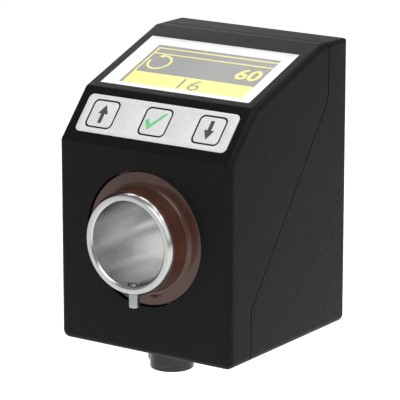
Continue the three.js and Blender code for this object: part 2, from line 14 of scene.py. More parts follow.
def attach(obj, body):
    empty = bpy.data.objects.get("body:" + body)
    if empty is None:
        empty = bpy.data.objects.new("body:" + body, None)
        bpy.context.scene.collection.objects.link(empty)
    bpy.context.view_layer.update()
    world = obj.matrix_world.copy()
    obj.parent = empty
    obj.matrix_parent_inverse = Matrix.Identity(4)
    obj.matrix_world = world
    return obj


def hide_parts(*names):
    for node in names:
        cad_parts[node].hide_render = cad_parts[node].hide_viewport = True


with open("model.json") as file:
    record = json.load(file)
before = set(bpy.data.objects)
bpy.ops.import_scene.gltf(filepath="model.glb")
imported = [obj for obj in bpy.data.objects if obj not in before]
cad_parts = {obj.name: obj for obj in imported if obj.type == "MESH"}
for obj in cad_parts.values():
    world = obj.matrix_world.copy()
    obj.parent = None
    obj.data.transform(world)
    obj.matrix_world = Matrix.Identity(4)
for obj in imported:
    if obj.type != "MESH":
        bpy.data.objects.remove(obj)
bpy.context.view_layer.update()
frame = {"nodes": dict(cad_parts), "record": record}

MM = 0.001

# ---------------------------------------------------------------- sizes, in millimetres

HALF_WIDTH = 24.0
FRONT = -49.2
FLOOR = -27.5
TOP = 41.7
KEY_FOOT = (FRONT, 20.6)
DISPLAY_FOOT = (-39.27, 31.6)
DISPLAY_HEAD = (-11.27, 41.7)
KEY_TILT = math.atan2(11.0, 9.93)
DISPLAY_TILT = math.atan2(10.1, 28.0)
WALL = 2.4
SIDE_RADIUS = 1.45
FOOT_RADIUS = 1.8
SEAM_GAP = 0.3
SEAM_CORNERS = [(-8.55, 60), (-8.55, 28.32), (-40.75, -15.17), (-40.75, -60)]

WINDOW = (-20.9, 1.95, 20.9, 24.6)
LCD = (-17.3, 4.45, 17.3, 21.95)
LCD_FACE = -0.8
FRAME_RIM = -0.16
FOIL = (-21.0, 2.7, 21.0, 12.83)
FOIL_FACE = -0.05
KEY_CENTRES = {"up": -15.2, "enter": -0.3, "down": 14.6}
KEY_MIDDLE = 7.85
KEY_SIDE = 6.8
KEY_HOLE_SIDE = 7.6
KEY_HOLE_CORNER = 1.4
INK = 0.02

LCD_BAND_TOP = 9.8
LCD_LINE_WIDTH = 0.45
LCD_UPPER_LINE = 20.5
LCD_LOWER_LINE = 18.1
LCD_LINE_LEFT = -16.55
COVE_REACH = 2.1
COVE_STEPS = 8

BORE_RADIUS = 10.0
SHAFT_FRONT = FRONT - 6.4
HUB_FRONT = FRONT - 5.0
FLANGE_FRONT = FRONT + 0.5
CLAMP_Y = FRONT - 3.7
CLAMP_HOLE_RADIUS = 1.5
FLANGE_RADIUS = 15.7
FLANGE_BACK = FLANGE_FRONT + 1.5
SHAFT_HOLE_RADIUS = 16
FRONT_SEAT = (16.8, 18.6, -47.3, -37.5)
REAR_SEAT = (14.8, 17, -13, -1.9)
# Each connector's X and Y, its lower end and its upper end.
CONNECTORS = {"socket": (-2.7, -34.2, -34.8, -20.3), "plug": (-10.8, -23.7, -36.9, -18.3)}
CONNECTOR_HOLE_RADIUS = 4.65
# Each cover screw's X and Z, and the Y of its tip.
SCREWS = [(-19.2, -22.6, -45.5), (19.2, -22.6, -45.5), (-19.2, 34.6, -12.4), (19.2, 34.6, -12.4)]
LOW_BOSS_FRONT = -40.4
HIGH_BOSS_FRONT = -8.2
SCREW_HOLE_RADIUS = 1.8
SCREW_RECESS_RADIUS = 3.0
TORQUE_PIN_Z = -21.5
TORQUE_PIN_RADIUS = 3

# How close two places, in millimetres, count as the same one.
SAME_PLACE = 0.01
SAME_CORNER = 0.05
# Angles between faces, in degrees: above the first an edge is rounded, below the second it shades smooth.
SHARP_ANGLE = 40
SMOOTH_ANGLE = 32
UP_AXES = {"Y": Vector((0, 1, 0)), "Z": Vector((0, 0, 1))}

# ---------------------------------------------------------------- finishes


def linear(hex_colour):
    """The linear RGBA colour of an sRGB hex value such as "#2a2a2b"."""
    channels = [int(hex_colour[i:i + 2], 16) / 255 for i in (1, 3, 5)]
    return [c / 12.92 if c <= 0.04045 else ((c + 0.055) / 1.055) ** 2.4 for c in channels] + [1.0]


def add_node(material, kind, settings=None, links=None):
    """Adds one node to a material, with settings for its fields or inputs, and links into its inputs."""
    tree = material.node_tree
    node = tree.nodes.new(kind)
    for name, value in (settings or {}).items():
        if isinstance(name, str) and hasattr(node, name):
            setattr(node, name, value)
        else:
            node.inputs[name].default_value = value
    for name, output in (links or {}).items():
        tree.links.new(output, node.inputs[name])
    return node


def new_material(name, surface, bump=None, colour=None, roughness=None):
    """A material with one Principled shader. The last three make the outputs that drive its sockets."""
    material = bpy.data.materials.new(name)
    material.use_nodes = True
    material.node_tree.nodes.clear()
    links = {}
    if bump:
        links["Normal"] = bump(material)
    if colour:
        links["Base Color"] = colour(material)
    if roughness:
        links["Roughness"] = roughness(material)
    shader = add_node(material, "ShaderNodeBsdfPrincipled", surface, links)
    add_node(material, "ShaderNodeOutputMaterial", None, {"Surface": shader.outputs["BSDF"]})
    return material


def place(material, stretch=(1, 1, 1)):
    """Object coordinates, stretched per axis so that a pattern can run along one direction."""
    coordinates = add_node(material, "ShaderNodeTexCoord")
    return add_node(
        material, "ShaderNodeMapping", {"Scale": stretch}, {"Vector": coordinates.outputs["Object"]},
    ).outputs["Vector"]


def grain(material, size_mm, detail, stretch=(1, 1, 1)):
    """A noise whose grains are about size_mm across, as a factor from 0 to 1."""
    settings = {"Scale": 1 / (size_mm * MM), "Detail": detail}
    return add_node(
        material, "ShaderNodeTexNoise", settings, {"Vector": place(material, stretch)},
    ).outputs["Fac"]


def blended(material, factor, low, high):
    """Runs between two colours, or two numbers as equal colours, as the factor goes from 0.3 to 0.7."""
    ramp = add_node(material, "ShaderNodeValToRGB", None, {"Fac": factor})
    for element, position, colour in zip(ramp.color_ramp.elements, (0.3, 0.7), (low, high)):
        element.position = position
        element.color = colour
    return ramp.outputs["Color"]


def level(value):
    """A number as the equal colour that a ramp needs."""
    return [value, value, value, 1.0]


def varied(material, factor, span):
    """A number that runs through a span, as (low, high), with the factor."""
    return blended(material, factor, level(span[0]), level(span[1]))


def relief(material, height, depth_mm):
    """A bump from a height factor, as deep as depth_mm."""
    settings = {"Strength": 1.0, "Distance": depth_mm * MM}
    return add_node(material, "ShaderNodeBump", settings, {"Height": height}).outputs["Normal"]


def speckled(name, dark, light, size_mm, roughness, relief_mm, surface, stretch=(1, 1, 1)):
    """A finish whose colour, roughness and relief all follow one grain."""
    return new_material(
        name,
        surface,
        bump=lambda m: relief(m, grain(m, size_mm, 3.0, stretch), relief_mm),
        colour=lambda m: blended(m, grain(m, size_mm * 6, 4.0, stretch), linear(dark), linear(light)),
        roughness=lambda m: varied(m, grain(m, size_mm * 3, 2.0, stretch), roughness),
    )


def axis_distance(material):
    """The distance from the shaft axis, and the place along it, in metres."""
    coordinates = add_node(material, "ShaderNodeTexCoord").outputs["Object"]
    across = add_node(
        material, "ShaderNodeVectorMath", {"operation": "MULTIPLY", 1: (1, 0, 1)}, {0: coordinates},
    ).outputs["Vector"]
    radius = add_node(material, "ShaderNodeVectorMath", {"operation": "LENGTH"}, {0: across}).outputs["Value"]
    along = add_node(material, "ShaderNodeSeparateXYZ", None, {"Vector": coordinates}).outputs["Y"]
    return radius, along


def turning_marks(material, pitch_mm):
    """Fine rings round the shaft axis, as a lathe tool leaves them: a noise on radius and length."""
    radius, along = axis_distance(material)
    rings = add_node(material, "ShaderNodeCombineXYZ", None, {"X": radius, "Y": along}).outputs["Vector"]
    return add_node(
        material, "ShaderNodeTexNoise", {"Scale": 1 / (pitch_mm * MM), "Detail": 2.0}, {"Vector": rings},
    ).outputs["Fac"]


def bore_painted_brighter(material, bore, outside):
    """One colour within the shaft's bore and another outside it. The brighter bore colour is painted light:
    it stands for light that reaches into the bore. The change is just past the bore's wall.
    """
    radius = axis_distance(material)[0]
    per_mm = 10
    settings = {"operation": "MULTIPLY_ADD", 1: per_mm / MM, 2: -BORE_RADIUS * per_mm}
    factor = add_node(material, "ShaderNodeMath", settings, {0: radius}).outputs["Value"]
    return blended(material, factor, linear(bore), linear(outside))


def turned_metal(name, bore, outside, roughness, pitch_mm, relief_mm):
    """A lathe-turned metal finish, painted brighter in the bore as painted light, with rings in its roughness
    and relief.
    """
    return new_material(
        name,
        {"Metallic": 1.0},
        bump=lambda m: relief(m, turning_marks(m, pitch_mm), relief_mm),
        colour=lambda m: bore_painted_brighter(m, bore, outside),
        roughness=lambda m: varied(m, turning_marks(m, pitch_mm * 2), roughness),
    )


def lit_film(name, colour, glow):
    """A printed or backlit display layer, with the fine dot pitch of a matrix display in its brightness."""
    bright = linear(colour)
    dim = [0.96 * channel for channel in bright[:3]] + [1.0]
    return new_material(
        name,
        {"Roughness": 0.45, "IOR": 1.5, "Emission Color": bright, "Emission Strength": glow},
        colour=lambda m: blended(m, grain(m, 0.35, 1.0), dim, bright),
    )


MATERIALS = {
    # Moulded ABS from a spark-eroded tool: near-black, with a fine even sand that breaks up highlights.
    "moulded_abs": speckled(
        "moulded_abs", "#0e0e0f", "#131314", 0.3, (0.45, 0.56), 0.01,
        {"IOR": 1.5, "Specular IOR Level": 0.12},
    ),
    # Nitrile rubber: dull, darker than the plastic beside it, so the parting line reads as a shadow.
    "nitrile_rubber": speckled(
        "nitrile_rubber", "#101010", "#171717", 0.4, (0.7, 0.85), 0.01,
        {"IOR": 1.5, "Specular IOR Level": 0.2},
    ),
    # Polysulfone, moulded and polished: a dark translucent amber with a wet gloss.
    "amber_polysulfone": speckled(
        "amber_polysulfone", "#482e25", "#553629", 0.8, (0.14, 0.2), 0.002,
        {"IOR": 1.63, "Specular IOR Level": 0.33},
    ),
    # Natural acetal: ivory, waxy, with soft broad highlights.
    "natural_acetal": speckled(
        "natural_acetal", "#ddd8c9", "#e9e6da", 0.6, (0.35, 0.45), 0.006, {"IOR": 1.48},
    ),
    # White polycarbonate display frame: satin. Its faint glow is painted light that lifts it towards full
    # white, and it stands for the display's backlight shining through it.
    "white_polycarbonate": speckled(
        "white_polycarbonate", "#fbfbfa", "#ffffff", 0.5, (0.45, 0.55), 0.004,
        {"IOR": 1.58, "Emission Color": (1, 1, 1, 1), "Emission Strength": 0.05},
    ),
    # Polyester key foil printed silver grey on its back: light, even, with a faint upright weave.
    "silver_foil": speckled(
        "silver_foil", "#e9e7e8", "#f2f1f1", 0.35, (0.32, 0.42), 0.006, {"IOR": 1.57}, (3, 1, 1),
    ),
    # Screen-printing ink on the foil: flat, dark grey.
    "dark_ink": speckled("dark_ink", "#464646", "#525252", 0.3, (0.5, 0.6), 0.003, {"IOR": 1.5}),
    # Screen-printing ink on the foil: flat, light green.
    "green_ink": speckled("green_ink", "#6fd68a", "#7fe09a", 0.3, (0.5, 0.6), 0.003, {"IOR": 1.5}),
    # Stainless steel, turned: neutral, with rings that run round the shaft, and painted lighter in its bore,
    # where the brighter colour is painted light that stands for light reaching in.
    "turned_stainless": turned_metal(
        "turned_stainless", "#dadad9", "#bababa", (0.18, 0.26), 0.25, 0.0003,
    ),
    # Zinc-plated screw steel: a little darker and duller than the shaft.
    "zinc_plated_steel": speckled(
        "zinc_plated_steel", "#8f9192", "#a9abac", 0.3, (0.3, 0.42), 0.004, {"Metallic": 1.0},
    ),
    # Nickel-plated brass, satin: dark smoky metal for the connector sleeves.
    "satin_nickel": speckled(
        "satin_nickel", "#333334", "#434344", 0.35, (0.3, 0.4), 0.004, {"Metallic": 1.0}, (1, 1, 6),
    ),
    # Glass-fibre epoxy board under green solder mask: semi-gloss, with a weave that shows through.
    "green_solder_mask": speckled(
        "green_solder_mask", "#174a2a", "#1f5f37", 0.5, (0.3, 0.45), 0.006, {"IOR": 1.5},
    ),
    # Black epoxy of chips and connector inserts: matt and neutral.
    "black_epoxy": speckled("black_epoxy", "#0f0f10", "#181819", 0.25, (0.5, 0.65), 0.006, {"IOR": 1.55}),
    # Sintered ferrite: dark grey and slightly sparkling.
    "sintered_ferrite": speckled(
        "sintered_ferrite", "#4d4e50", "#606164", 0.3, (0.4, 0.6), 0.01, {"Metallic": 0.7},
    ),
    # Polyimide flex: clear orange film over copper.
    "orange_polyimide": speckled(
        "orange_polyimide", "#a4591b", "#bb6c26", 0.6, (0.25, 0.4), 0.003, {"IOR": 1.7},
    ),
    # Liquid-crystal field: an even mid grey behind the signs.
    "lcd_grey": lit_film("lcd_grey", "#8f8f8e", 0.0),
    # Backlit open segments: pale yellow and brighter than anything round them.
    "lcd_yellow": lit_film("lcd_yellow", "#fff684", 0.07),
    # Dark segments on the yellow band.
    "lcd_dark": lit_film("lcd_dark", "#80806c", 0.0),
    # Clear polycarbonate window: only its thin reflection shows over the display.
    "clear_polycarbonate": speckled(
        "clear_polycarbonate", "#fafcfc", "#ffffff", 1.5, (0.04, 0.07), 0.0, {"IOR": 1.58, "Alpha": 0.06},
    ),
}

# The finish of each material slot of the frame.
SLOT_FINISH = {
    "black_plastic": "moulded_abs",
    "black_rubber": "nitrile_rubber",
    "clear_plastic": "clear_polycarbonate",
    "white_plastic": "white_polycarbonate",
    "lcd_glass": "lcd_grey",
    "circuit_board": "green_solder_mask",
    "silver_film": "silver_foil",
    "stainless_steel": "turned_stainless",
    "amber_plastic": "amber_polysulfone",
    "gear_plastic": "natural_acetal",
    "ferrite": "sintered_ferrite",
    "black_resin": "black_epoxy",
    "flex_film": "orange_polyimide",
    "nickel_plate": "satin_nickel",
}


def paint(piece, finish):
    """Gives a piece one finish."""
    piece.data.materials.clear()
    piece.data.materials.append(MATERIALS[finish])


for part in frame["record"]["subparts"]:
    paint(frame["nodes"][part["node"]], SLOT_FINISH[part["material_slot"]])

# ---------------------------------------------------------------- modelling tools


def activate(piece):
    """Makes one object the only selected one, and the active one."""
    bpy.ops.object.select_all(action="DESELECT")
    piece.select_set(True)
    bpy.context.view_layer.objects.active = piece


def settle(piece):
    """Moves an object's place into its mesh."""
    activate(piece)
    bpy.ops.object.transform_apply(location=True, rotation=True, scale=True)


def modify(piece, kind, **settings):
    """Adds one modifier and applies it."""
    activate(piece)
    modifier = piece.modifiers.new(kind.title(), kind)
    for name, value in settings.items():
        setattr(modifier, name, value)
    bpy.ops.object.modifier_apply(modifier=modifier.name)


def combine(piece, operation, *tools):
    """Cuts, joins or intersects a piece with other pieces, which are used up."""
    for tool in tools:
        modify(piece, "BOOLEAN", operation=operation, solver="EXACT", object=tool)
        bpy.data.objects.remove(tool)
    return piece


def break_edges(piece, width_mm, segments):
    """Rounds every sharp edge."""
    modify(
        piece, "BEVEL", width=width_mm * MM, segments=segments, limit_method="ANGLE",
        angle_limit=math.radians(SHARP_ANGLE),
    )


def tidy(piece, merge_mm=0.002):
    """Merges doubles and turns every face outwards."""
    activate(piece)
    bpy.ops.object.mode_set(mode="EDIT")
    bpy.ops.mesh.select_all(action="SELECT")
    bpy.ops.mesh.remove_doubles(threshold=merge_mm * MM)
    bpy.ops.mesh.normals_make_consistent(inside=False)
    bpy.ops.object.mode_set(mode="OBJECT")


def select_nothing(piece, kind):
    """Clears the selection inside a piece and sets whether its edges or its faces are picked next."""
    activate(piece)
    bpy.ops.object.mode_set(mode="EDIT")
    bpy.ops.mesh.select_mode(type=kind)
    bpy.ops.mesh.select_all(action="DESELECT")
    bpy.ops.object.mode_set(mode="OBJECT")


def select_faces(piece, chosen):
    """Goes into edit mode with the chosen faces selected."""
    select_nothing(piece, "FACE")
    for face in piece.data.polygons:
        face.select = chosen(face)
    bpy.ops.object.mode_set(mode="EDIT")


def finish_piece(piece, finish, slot, body, *replaced):
    """Smooths, paints and registers a finished piece, and hides the frame nodes that it stands for."""
    activate(piece)
    bpy.ops.object.shade_smooth_by_angle(angle=math.radians(SMOOTH_ANGLE))
    paint(piece, finish)
    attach(piece, body)
    if replaced:
        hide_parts(*replaced)


def slope_frame(foot, tilt):
    """The frame of a sloping face: its first axis is +X, its second runs up the slope."""
    return Matrix.Translation(Vector((0, foot[0], foot[1])) * MM) @ Matrix.Rotation(tilt, 4, "X")


KEYPAD = slope_frame(KEY_FOOT, KEY_TILT)
DISPLAY = slope_frame(DISPLAY_FOOT, DISPLAY_TILT)
# A frame whose outline is drawn in Y and Z and raised along X.
SIDEWAYS = Matrix(((0, 0, 1, 0), (1, 0, 0, 0), (0, 1, 0, 0), (0, 0, 0, 1)))


def rounded(points, radii, steps=5):
    """Replaces corners of an outline by arcs. A radius of 0 keeps the corner."""
    result = []
    count = len(points)
    for i, point in enumerate(points):
        radius = radii[i] if isinstance(radii, (list, tuple)) else radii
        corner = Vector(point)
        if radius == 0:
            result.append(corner)
            continue
        before = (Vector(points[i - 1]) - corner).normalized()
        after = (Vector(points[(i + 1) % count]) - corner).normalized()
        half = before.angle(after) / 2
        centre = corner + (before + after).normalized() * (radius / math.sin(half))
        start = corner + before * (radius / math.tan(half)) - centre
        end = corner + after * (radius / math.tan(half)) - centre
        sweep = start.angle_signed(end)
        for k in range(steps + 1):
            arm = start.copy()
            arm.rotate(Matrix.Rotation(-sweep * k / steps, 2))
            result.append(centre + arm)
    return result


def rectangle(box, corner=0.0, steps=5):
    """The outline of a box given as (low x, low y, high x, high y), with rounded corners if wanted."""
    low_x, low_y, high_x, high_y = box
    points = [(low_x, low_y), (high_x, low_y), (high_x, high_y), (low_x, high_y)]
    return rounded(points, corner, steps) if corner else points


def grown(box, by):
    """A box made wider on all four sides."""
    return (box[0] - by, box[1] - by, box[2] + by, box[3] + by)


def square(x, y, side):
    """The box of a square with its middle at x and y."""
    return (x - side / 2, y - side / 2, x + side / 2, y + side / 2)


def raised(name, outline, low, high, place_frame=Matrix.Identity(4)):
    """A flat outline in millimetres, extruded from low to high along its frame's third axis."""
    mesh = bpy.data.meshes.new(name)
    corners = [Vector((p[0], p[1], low)) * MM for p in outline]
    mesh.from_pydata(corners, [], [list(range(len(corners)))])
    piece = bpy.data.objects.new(name, mesh)
    bpy.context.scene.collection.objects.link(piece)
    activate(piece)
    bpy.ops.object.mode_set(mode="EDIT")
    bpy.ops.mesh.select_all(action="SELECT")
    bpy.ops.mesh.extrude_region_move(TRANSFORM_OT_translate={"value": (0, 0, (high - low) * MM)})
    bpy.ops.mesh.select_all(action="SELECT")
    bpy.ops.mesh.normals_make_consistent(inside=False)
    bpy.ops.object.mode_set(mode="OBJECT")
    piece.matrix_world = place_frame
    settle(piece)
    return piece


def turned(name, profile, centre=(0, 0, 0), axis="Y", steps=96):
    """A profile of (radius, height) points in millimetres, spun round an axis through the centre."""
    middle = Vector(centre) * MM
    up = UP_AXES[axis]
    points = [middle + Vector((1, 0, 0)) * p[0] * MM + up * p[1] * MM for p in profile]
    edges = [(i, i + 1) for i in range(len(points) - 1)]
    if profile[0][0] > 0:
        edges.append((len(points) - 1, 0))
    mesh = bpy.data.meshes.new(name)
    mesh.from_pydata(points, edges, [])
    piece = bpy.data.objects.new(name, mesh)
    bpy.context.scene.collection.objects.link(piece)
    activate(piece)
    bpy.ops.object.mode_set(mode="EDIT")
    bpy.ops.mesh.select_all(action="SELECT")
    bpy.ops.mesh.spin(steps=steps, angle=2 * math.pi, center=middle, axis=up)
    bpy.ops.object.mode_set(mode="OBJECT")
    tidy(piece)
    return piece


def cylinder(name, radius, low, high, centre, axis="Y", vertices=48):
    """A plain round bar between two heights on its axis, for drilling and joining."""
    turn = {"Y": (math.radians(90), 0, 0), "Z": (0, 0, 0)}[axis]
    middle = (Vector(centre) + UP_AXES[axis] * (low + high) / 2) * MM
    bpy.ops.object.select_all(action="DESELECT")
    bpy.ops.mesh.primitive_cylinder_add(
        vertices=vertices, radius=radius * MM, depth=(high - low) * MM, location=middle, rotation=turn,
    )
    piece = bpy.context.active_object
    piece.name = name
    settle(piece)
    return piece


# ---------------------------------------------------------------- housing shells


def bisect_outer(piece, point, tilt):
    """Cuts off what lies above a sloping plane and closes the cut."""
    activate(piece)
    bpy.ops.object.mode_set(mode="EDIT")
    bpy.ops.mesh.select_all(action="SELECT")
    bpy.ops.mesh.bisect(
        plane_co=Vector((0, point[0], point[1])) * MM,
        plane_no=(0, -math.sin(tilt), math.cos(tilt)), use_fill=True, clear_outer=True,
    )
    bpy.ops.object.mode_set(mode="OBJECT")


def housing_block(name, inset=0.0):
    """The housing's outer form with sharp edges, moved inwards by the inset."""
    low = Vector((-HALF_WIDTH + inset, FRONT + inset, FLOOR + inset)) * MM
    high = Vector((HALF_WIDTH - inset, -inset, TOP - inset)) * MM
    bpy.ops.object.select_all(action="DESELECT")
    bpy.ops.mesh.primitive_cube_add(size=1, location=(low + high) / 2, scale=high - low)
    piece = bpy.context.active_object
    piece.name = name
    settle(piece)
    for foot, tilt in ((KEY_FOOT, KEY_TILT), (DISPLAY_FOOT, DISPLAY_TILT)):
        bisect_outer(piece, (foot[0] + inset * math.sin(tilt), foot[1] - inset * math.cos(tilt)), tilt)
    return piece


def bevel_edges(piece, chosen, width_mm, segments):
    """Rounds the edges that `chosen` picks by their two end points."""
    select_nothing(piece, "EDGE")
    for edge in piece.data.edges:
        a, b = (piece.data.vertices[v].co / MM for v in edge.vertices)
        edge.select = chosen(a, b)
    bpy.ops.object.mode_set(mode="EDIT")
    bpy.ops.mesh.bevel(offset=width_mm * MM, segments=segments, affect="EDGES", clamp_overlap=False)
    bpy.ops.object.mode_set(mode="OBJECT")


def runs_across_at(y, z):
    """Picks an edge that runs along X at that place in Y and Z."""
    def chosen(a, b):
        near = all(max(abs(end.y - y), abs(end.z - z)) < SAME_CORNER for end in (a, b))
        return near and abs(a.x - b.x) > 1
    return chosen


def runs_along_a_foot(a, b):
    """Picks the two lowest edges that run from front to rear."""
    return abs(a.x - b.x) < SAME_PLACE and max(a.z, b.z) < FLOOR + SAME_PLACE


def rims_an_end_or_side(a, b):
    """Picks the rims of the front and rear faces, and the sloping and top edges of the sides."""
    low = max(a.z, b.z) < FLOOR + FOOT_RADIUS + SAME_PLACE
    across = abs(a.x - b.x) > HALF_WIDTH
    if abs(a.y - b.y) < SAME_PLACE and min(abs(a.y - FRONT), abs(a.y)) < SAME_PLACE:
        return low or not across
    return abs(abs(a.x) - HALF_WIDTH) < SAME_PLACE and abs(a.x - b.x) < SAME_PLACE and not low


def outer_form():
    """The housing with rounded edges: what a block rounded at its rims and one rounded across share."""
    rimmed = housing_block("rounded_rims")
    bevel_edges(rimmed, runs_along_a_foot, FOOT_RADIUS, 8)
    bevel_edges(rimmed, rims_an_end_or_side, SIDE_RADIUS, 8)
    across = housing_block("rounded_across")
    corners = [
        ((0, FLOOR), FOOT_RADIUS), ((0, TOP), 1.35),
        (DISPLAY_HEAD, 0.35), (DISPLAY_FOOT, 0.35), (KEY_FOOT, 0.35),
    ]
    for (y, z), width in corners:
        bevel_edges(across, runs_across_at(y, z), width, 6)
    form = combine(across, "INTERSECT", rimmed)
    # Both blocks are convex, and so is what they share, so its hull is the same form with clean faces.
    activate(form)
    bpy.ops.object.mode_set(mode="EDIT")
    bpy.ops.mesh.select_all(action="SELECT")
    flat = math.radians(1)
    bpy.ops.mesh.convex_hull(join_triangles=True, face_threshold=flat, shape_threshold=flat)
    bpy.ops.object.mode_set(mode="OBJECT")
    tidy(form)
    return form


def seam_region(name, shift):
    """Everything in front of the parting line, moved along Y by the shift."""
    line = [(y + shift, z) for y, z in SEAM_CORNERS]
    outline = rounded(line + [(-80, -60), (-80, 60)], [0, 9, 4.5, 0, 0, 0], 10)
    return raised(name, outline, -40, 40, SIDEWAYS)


def ring_seat(inner, outer, front, rear):
    """A ring inside the housing that a bearing or seal sits in."""
    return turned("seat", [(inner, front), (outer, front), (outer, rear), (inner, rear)])


def front_shell():
    """The front cover: hollow, with a seat inside and openings for the shaft, the window and the keys."""
    shell = outer_form()
    combine(shell, "DIFFERENCE", housing_block("cavity", WALL))
    combine(shell, "INTERSECT", seam_region("front_region", -SEAM_GAP / 2))
    combine(shell, "UNION", ring_seat(*FRONT_SEAT))
    cutters = [
        cylinder("shaft_hole", SHAFT_HOLE_RADIUS, FRONT - 1, FRONT + WALL + 0.1, (0, 0, 0), vertices=128),
        raised("foil_pocket", rectangle(grown(FOIL, 0.25), 1.55, 8), -0.7, 2, KEYPAD),
        raised("window_opening", rectangle(WINDOW, 0.4, 4), -5, 2, DISPLAY),
    ]
    for x in KEY_CENTRES.values():
        well = rectangle(square(x, KEY_MIDDLE, KEY_HOLE_SIDE), KEY_HOLE_CORNER)
        cutters.append(raised("key_well", well, -5, 1, KEYPAD))
    combine(shell, "DIFFERENCE", *cutters)
    tidy(shell)
    shell.name = "front_cover_shell"
    return shell


def rear_shell():
    """The rear housing: hollow, with bosses inside and holes for the shaft, pin, screws and connectors."""
    shell = outer_form()
    combine(shell, "DIFFERENCE", housing_block("cavity", WALL), seam_region("front_region", SEAM_GAP / 2))
    bosses = []
    for x, z, _ in SCREWS:
        boss_front = LOW_BOSS_FRONT if z < 0 else HIGH_BOSS_FRONT
        bosses.append(cylinder("boss", 2.8, boss_front, -2, (x, 0, z), vertices=32))
    bosses.append(ring_seat(*REAR_SEAT))
    bosses.append(cylinder("pin_boss", 5, -8.5, -1.9, (0, 0, TORQUE_PIN_Z)))
    inner = housing_block("inside", WALL - 0.5)
    for boss in bosses:
        modify(boss, "BOOLEAN", operation="INTERSECT", solver="EXACT", object=inner)
    bpy.data.objects.remove(inner)
    combine(shell, "UNION", *bosses)
    cutters = [
        cylinder("bearing_bore", REAR_SEAT[0], -20, 1, (0, 0, 0), vertices=96),
        cylinder("pin_hole", 3.2, -7.2, 1, (0, 0, TORQUE_PIN_Z)),
    ]
    for x, y, *_ in CONNECTORS.values():
        hole = cylinder("connector_hole", CONNECTOR_HOLE_RADIUS, FLOOR - 1, FLOOR + WALL + 1, (x, y, 0), "Z")
        cutters.append(hole)
    for x, z, _ in SCREWS:
        cutters.append(cylinder("screw_hole", SCREW_HOLE_RADIUS, -50, 1, (x, 0, z), vertices=32))
        cutters.append(cylinder("screw_recess", SCREW_RECESS_RADIUS, -2.3, 1, (x, 0, z), vertices=48))
    combine(shell, "DIFFERENCE", *cutters)
    tidy(shell)
    shell.name = "rear_housing_shell"
    return shell


finish_piece(front_shell(), "moulded_abs", "black_plastic", "housing", "front_cover")
finish_piece(rear_shell(), "moulded_abs", "black_plastic", "housing", "rear_housing")

# ---------------------------------------------------------------- display


def display_frame():
    """The white frame round the display. A cove runs from its rim down to the glass."""
    plate = raised("display_frame", rectangle(grown(WINDOW, -0.04)), -2.9, FRAME_RIM, DISPLAY)
    up = (DISPLAY.to_3x3() @ Vector((0, 0, 1))).normalized()
    select_faces(plate, lambda face: face.normal.dot(up) > 0.99)
    bpy.ops.mesh.inset(thickness=0.12 * MM)
    drop = FRAME_RIM - LCD_FACE - 0.06
    turns = [math.pi / 2 * k / COVE_STEPS for k in range(COVE_STEPS + 1)]
    for before, after in zip(turns, turns[1:]):
        inwards = COVE_REACH * (math.cos(before) - math.cos(after))
        down = drop * (math.sin(after) - math.sin(before))
        bpy.ops.mesh.inset(thickness=inwards * MM, depth=-down * MM)
    bpy.ops.object.mode_set(mode="OBJECT")
    return combine(plate, "DIFFERENCE", raised("opening", rectangle(LCD), -4, 1, DISPLAY))


def lcd_layer(name, outline):
    """One lit area of the display, a hair above the glass."""
    layer = raised(name, outline, LCD_FACE, LCD_FACE + INK, DISPLAY)
    finish_piece(layer, "lcd_yellow", "lcd_glass", "housing")


def sign(name, text, finish, left, base, height, weight, stretch):
    """Digits on the display: their size and stroke weight in millimetres, then stretched across and up."""
    bpy.ops.object.select_all(action="DESELECT")
    bpy.ops.object.text_add()
    letters = bpy.context.active_object
    letters.data.body = text
    letters.data.size = height / 0.7 * MM
    letters.data.offset = weight * MM
    letters.data.extrude = 0.01 * MM
    bpy.ops.object.convert(target="MESH")
    letters.name = name
    letters.data.name = name
    start = Matrix.Translation(Vector((left, base, LCD_FACE + 0.045)) * MM)
    letters.matrix_world = DISPLAY @ start @ Matrix.Diagonal((*stretch, 1, 1))
    settle(letters)
    tidy(letters, 0.0005)
    finish_piece(letters, finish, "lcd_glass", "housing")


def turn_arrow(centre, radius, width, first, last):
    """A round arrow from one angle to another, in degrees, with its head at the end."""
    steps = 40
    angles = [math.radians(first + (last - first) * k / steps) for k in range(steps + 1)]
    middle = Vector(centre)

    def at(angle, distance):
        return middle + Vector((math.cos(angle), math.sin(angle))) * distance

    ahead = math.radians(last + 32)
    head = [at(angles[-1], radius + 0.95), at(ahead, radius + 0.1), at(angles[-1], radius - 0.85)]
    outer = [at(a, radius + width / 2) for a in angles]
    inner = [at(a, radius - width / 2) for a in reversed(angles)]
    return outer + head + inner


finish_piece(display_frame(), "white_polycarbonate", "white_plastic", "housing", "display_bezel")
panel = raised("lcd_glass_panel", rectangle(grown(LCD, -0.06)), -2.7, LCD_FACE, DISPLAY)
break_edges(panel, 0.03, 1)
finish_piece(panel, "lcd_grey", "lcd_glass", "housing", "lcd_panel")

RIGHT_EDGE = LCD[2] - 0.1
LEFT_EDGE = LCD_LINE_LEFT + LCD_LINE_WIDTH
LIT_BOXES = {
    "lcd_band": (-16.4, LCD[1] + 0.1, RIGHT_EDGE, LCD_BAND_TOP),
    "lcd_line_upper": (LCD_LINE_LEFT, LCD_UPPER_LINE, RIGHT_EDGE, LCD_UPPER_LINE + LCD_LINE_WIDTH),
    "lcd_line_lower": (LEFT_EDGE, LCD_LOWER_LINE, RIGHT_EDGE, LCD_LOWER_LINE + LCD_LINE_WIDTH),
    "lcd_line_left": (LCD_LINE_LEFT, LCD_BAND_TOP, LEFT_EDGE, LCD_UPPER_LINE),
}
for name, box in LIT_BOXES.items():
    lcd_layer(name, rectangle(box))
lcd_layer("lcd_turn_arrow", turn_arrow((-12.35, 14.6), 2.9, 0.6, 168, 455))
sign("lcd_target_value", "60", "lcd_yellow", 9.7, 12.1, 3.9, 0.14, (1.2, 1.1))
sign("lcd_actual_value", "16", "lcd_dark", -3.0, 4.75, 4.4, -0.08, (1.2, 1.0))

